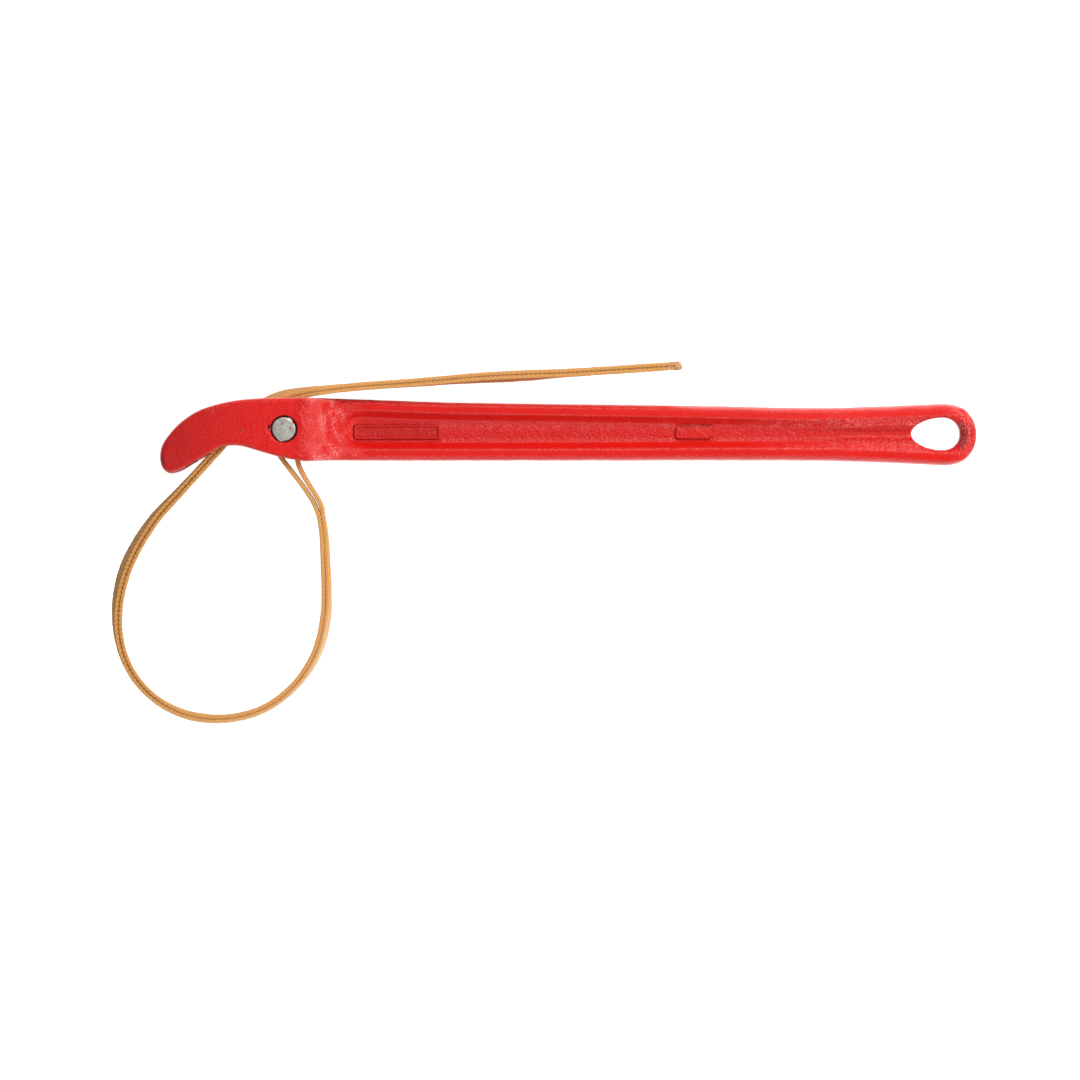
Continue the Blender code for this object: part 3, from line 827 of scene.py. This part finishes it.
def smooth_casting(points, edges):
    """The points without their voxel steps, with where they lie across the shank."""
    x, y, z = points.T
    weight = 1 - 0.9 * (1 - ease(np.hypot(x, y), 6.0, 7.5))
    points = smooth_points(points, edges, weight, SMOOTHING)
    x, y, z = points.T
    aside, half = across_shank(x, y)
    flare = ease(x, -1.0, 6.0) * (1 - ease(x, 26.0, 32.0)) * (1 - ease(aside, half - 3.0, half - 1.0))
    flare = flare * ease(np.hypot(x, y), 6.5, 9.0) * ease(np.abs(z), 5.0, 7.0)
    points = smooth_points(points, edges, flare, FLARE_SMOOTHING)
    rim = ease(x, 90.0, 170.0) * ease(aside, half - 3.5, half - 2.0)
    points = smooth_points(points, edges, rim, RIM_SMOOTHING)
    outward = np.stack([np.maximum(x - RING_CENTRE[0], 0.0), y - RING_CENTRE[1]], -1)
    outward /= np.maximum(np.linalg.norm(outward, axis=1, keepdims=True), 1.0)
    points[:, :2] += RIM_REGAIN * rim[:, None] * outward
    return points, aside, half


def plate_height(x, y, z, plate, framed):
    """Height over the web at each point of a plate, whole or only its frame, and nan off the plate."""
    gap = rounded_gap(x, y, plate)
    height = RAISED * (1 - ease(gap, -0.28, 0.22))
    if framed:
        height = height - (RAISED - 0.12) * (1 - ease(gap, -RIM - 0.22, -RIM + 0.28))
    on_web = (gap < 0.9) & (np.abs(z) < BELOW_FLANGE)
    return np.where(on_web, height, np.nan)


def raise_plates(points):
    """Lifts the framed plate on both faces, and the pad on the upper one, over the web."""
    x, y, z = points.T
    for plate, framed, sides in ((PLATE, True, (-1, 1)), (PAD, False, (1,))):
        height = plate_height(x, y, z, plate, framed)
        for side in sides:
            chosen = ~np.isnan(height) & (z * side > 0)
            points[chosen, 2] = side * (WEB + height[chosen])


def close_bore(points):
    """Draws the bore in to the pin below the rim that shows round the pin's ends."""
    x, y, z = points.T
    bored = (np.hypot(x, y) < 5.6) & (np.abs(z) < HALF_HEAD - 0.9)
    reach = np.where(bored, BORE_CLOSE / np.maximum(np.hypot(x, y), 0.1), 1.0)
    points[:, :2] *= reach[:, None]


def press_stake(points):
    """Sinks the stake mark beside the pin, and says how deep it is, 0 to 1, at each point."""
    x, y, z = points.T
    dent = np.exp(-(((x - STAKE[0]) / 0.55) ** 2) - ((y - STAKE[1]) / 1.0) ** 2) * (z > HALF_HEAD - 2.5)
    points[:, 2] -= STAKE_DEPTH * dent * (np.hypot(x, y) > 4.8)
    return dent


def raise_flash(points, normals, patches):
    """Pushes out the seam that the mould's halves leave round the casting's edge."""
    x, y, z = points.T
    on_edge = (np.abs(normals[:, 2]) < 0.5) * (np.hypot(x, y) > 26.0)
    height = FLASH * band(z, 0.0, 0.45) * (0.55 + 0.45 * patches) * on_edge
    outward = normals[:, :2] / np.maximum(np.linalg.norm(normals[:, :2], axis=1, keepdims=True), 0.1)
    points[:, :2] += height[:, None] * outward


def surface_masks(points, aside, half, dent):
    """Where the sand cast skin is coarse, and where painted shade darkens it."""
    x, y, z = points.T
    shank = ease(x, 22.0, 30.0)
    flare = ease(x, 3.0, 10.0) * (1 - shank) * ease(np.abs(z), 3.0, 6.0)
    edge = half - FLANGE
    floor = edge - SLOPE
    in_web = shank * (1 - ease(aside, floor - 0.3, floor + 0.9))
    trough = ease(x, 150.0, 200.0) * (1 - ease(aside, edge - 1.5, edge)) * ease(np.abs(y + 2.0), 0.8, 2.2)
    lips = shank * (band(aside, edge - 0.3, 0.5) + band(aside, half - 1.2, 0.5))
    grain = 0.45 - 0.27 * shank + 1.1 * flare + 0.45 * in_web + 0.5 * trough + 0.45 * lips
    inner_end = ease(x, 246.0, 247.0) * (1 - ease(x, 249.5, 250.6)) * (1 - ease(aside, 4.5, 6.5))
    # painted shade: the ring's inner end, the bore's gap, the web, the plates' edges and fields, the stake
    # mark and the nose
    painted_shade = 0.6 * inner_end * (np.abs(z) < 6.9)
    painted_shade = np.maximum(painted_shade, 0.85 * (1 - ease(np.hypot(x, y), 4.7, 5.3)))
    painted_shade = np.maximum(painted_shade, 0.13 * in_web)
    frame_edge = np.minimum(np.abs(rounded_gap(x, y, PLATE)), np.abs(rounded_gap(x, y, PAD)))
    painted_shade = np.maximum(painted_shade, 0.4 * band(frame_edge, 0.1, 0.35) * (np.abs(z) < 4.9) * (x > 15.0))
    painted_shade = np.maximum(painted_shade, 0.3 * (rounded_gap(x, y, PLATE) < -RIM) * (np.abs(z) < 4.6))
    painted_shade = np.maximum(painted_shade, np.clip(1.4 * dent, 0, 1))
    nose = ease(-x, 42.8, 44.0) * band(y, -11.8, 2.0) * (np.abs(z) > HALF_HEAD - 2.5)
    painted_shade = np.maximum(painted_shade, 0.75 * nose)
    return np.clip(grain + 0.6 * inner_end, 0.0, 1.5), painted_shade


def glint_masks(points, aside, half, rise, patches):
    """Where pale painted glints lie between the coarse grains, and where rounded edges get a painted
    highlight.
    """
    x, y, z = points.T
    shank = ease(x, 22.0, 30.0)
    clusters = ease(patches, -0.25, 0.45)
    flare = ease(x, 7.0, 13.0) * (1 - ease(x, 18.0, 27.0)) * ease(np.abs(z), 3.0, 6.0)
    upper_web = ease(x, 44.0, 62.0) * band(y, 1.4, 1.6)
    trough = ease(x, 165.0, 190.0) * (1 - ease(x, 232.0, 242.0))
    trough = trough * (band(y, 2.6, 1.5) + 0.8 * band(y, -6.0, 1.3))
    lips = shank * (band(aside, half - FLANGE - 0.3, 0.4) + band(aside, half - 1.2, 0.4))
    inner_end = ease(x, 245.5, 247.0) * (1 - ease(x, 250.0, 251.5)) * (1 - ease(aside, 6.0, 8.0))
    # painted glints on the flare, the upper web, the trough, the lips and the ring's inner end
    painted_glints = 0.85 * flare * (0.08 + 0.92 * clusters)
    painted_glints = painted_glints + (0.35 * upper_web + 0.45 * trough) * (0.4 + 0.6 * clusters)
    painted_glints = painted_glints + 0.3 * lips + 0.25 * inner_end
    # painted highlight along the rounded outline, stronger at the back and under the nose
    outline = np.where(x > 14.0, aside > half - 1.6, np.hypot(x, y) > 7.5)
    nose = (x < -36.0) * (y < -12.5)
    facing = np.where(y > -3.0, 0.5, 0.18) * (0.6 + 0.4 * clusters) + 0.65 * nose
    edge_highlight = facing * band(rise, 0.45, 0.24) * outline
    return np.clip(painted_glints, 0.0, 1.0), edge_highlight


def make_handle():
    mesh = fine_copy("handle")
    cut_finer(mesh)
    points, aside, half = smooth_casting(vertex_array(mesh), edge_array(mesh))
    raise_plates(points)
    close_bore(points)
    dent = press_stake(points)
    lumps = np.array([noise.noise_vector(Vector(p) / LUMP_SIZE) for p in points])
    pits = noise_at(points, PIT_SIZE)
    patches = noise_at(points, PATCH_SIZE)
    mesh.vertices.foreach_set("co", to_metres(points).ravel())
    mesh.update()
    normals = normal_array(mesh)
    grain, painted_shade = surface_masks(points, aside, half, dent)
    painted_glints, edge_highlight = glint_masks(points, aside, half, np.abs(normals[:, 2]), patches)
    raise_flash(points, normals, patches)
    moved = points + 0.07 * lumps + (0.05 * pits * grain)[:, None] * np.array([0.3, 0.5, 1.0])
    mesh.vertices.foreach_set("co", to_metres(moved).ravel())
    keep_values(mesh, {"grain": grain, "painted_shade": painted_shade, "painted_glints": painted_glints, "edge_highlight": edge_highlight})
    mesh.materials.clear()
    mesh.materials.append(red_paint())
    mesh.shade_smooth()
    mesh.update()
    piece = place_object("casting", mesh)
    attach(piece, "handle")
    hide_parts("handle")


# ---- floor, light and camera ----
def pale_floor():
    mesh = bpy.data.meshes.new("floor")
    corners = [(x * FLOOR_HALF, y * FLOOR_HALF, 0) for x, y in ((-1, -1), (1, -1), (1, 1), (-1, 1))]
    mesh.from_pydata(corners, [], [(0, 1, 2, 3)])
    floor = place_object("floor", mesh)
    card = Shader("pale_floor")
    card.set("Base Color", card.mix(card.noise(3.0), (0.50, 0.50, 0.50), (0.54, 0.54, 0.54)))
    card.set("Roughness", 0.9)
    card.set("Specular IOR Level", 0.0)
    card.set("Emission Color", (1.0, 1.0, 1.0, 1.0))
    card.set("Emission Strength", FLOOR_GLOW)
    mesh.materials.append(card.material)


def area_light(name, place, aim, size, power):
    data = bpy.data.lights.new(name, "AREA")
    data.shape = "RECTANGLE"
    data.size, data.size_y = size
    data.energy = power
    light = place_object(name, data)
    light.location = place
    light.rotation_euler = (Vector(aim) - Vector(place)).to_track_quat("-Z", "Y").to_euler()
    light.visible_camera = False


def world_remap(tree, value, low, high, to_low, to_high):
    ramp = tree.nodes.new("ShaderNodeMapRange")
    ramp.interpolation_type = "SMOOTHSTEP"
    for name, number in (("From Min", low), ("From Max", high), ("To Min", to_low), ("To Max", to_high)):
        ramp.inputs[name].default_value = number
    tree.links.new(value, ramp.inputs["Value"])
    return ramp.outputs[0]


def surroundings():
    """A plain pale world that is darker overhead and towards the nose."""
    world = bpy.data.worlds.new("studio")
    world.use_nodes = True
    tree = world.node_tree
    background = tree.nodes["Background"]
    around = tree.nodes.new("ShaderNodeTexCoord").outputs["Generated"]
    split = tree.nodes.new("ShaderNodeSeparateXYZ")
    tree.links.new(around, split.inputs[0])
    side = tree.nodes.new("ShaderNodeVectorMath")
    side.operation = "DOT_PRODUCT"
    side.inputs[1].default_value = BRIGHT_SIDE
    tree.links.new(around, side.inputs[0])
    product = tree.nodes.new("ShaderNodeMath")
    product.operation = "MULTIPLY"
    tree.links.new(world_remap(tree, split.outputs[2], *SKY_BY_HEIGHT), product.inputs[0])
    tree.links.new(world_remap(tree, side.outputs["Value"], *SKY_BY_SIDE), product.inputs[1])
    tree.links.new(product.outputs[0], background.inputs["Strength"])
    background.inputs["Color"].default_value = (1.0, 0.995, 0.98, 1.0)
    return world


def studio():
    scene = bpy.context.scene
    scene.view_settings.view_transform = "Standard"
    scene.world = surroundings()
    for light in LIGHTS:
        area_light(*light)
    camera_data = bpy.data.cameras.new("camera")
    camera_data.sensor_width = 36.0
    camera_data.lens = CAMERA_LENS
    camera_data.clip_start = 0.1
    camera_data.clip_end = 20.0
    camera = place_object("camera", camera_data)
    camera.location = CAMERA_PLACE
    scene.camera = camera


make_handle()
make_pin()
make_strap()
pale_floor()
studio()
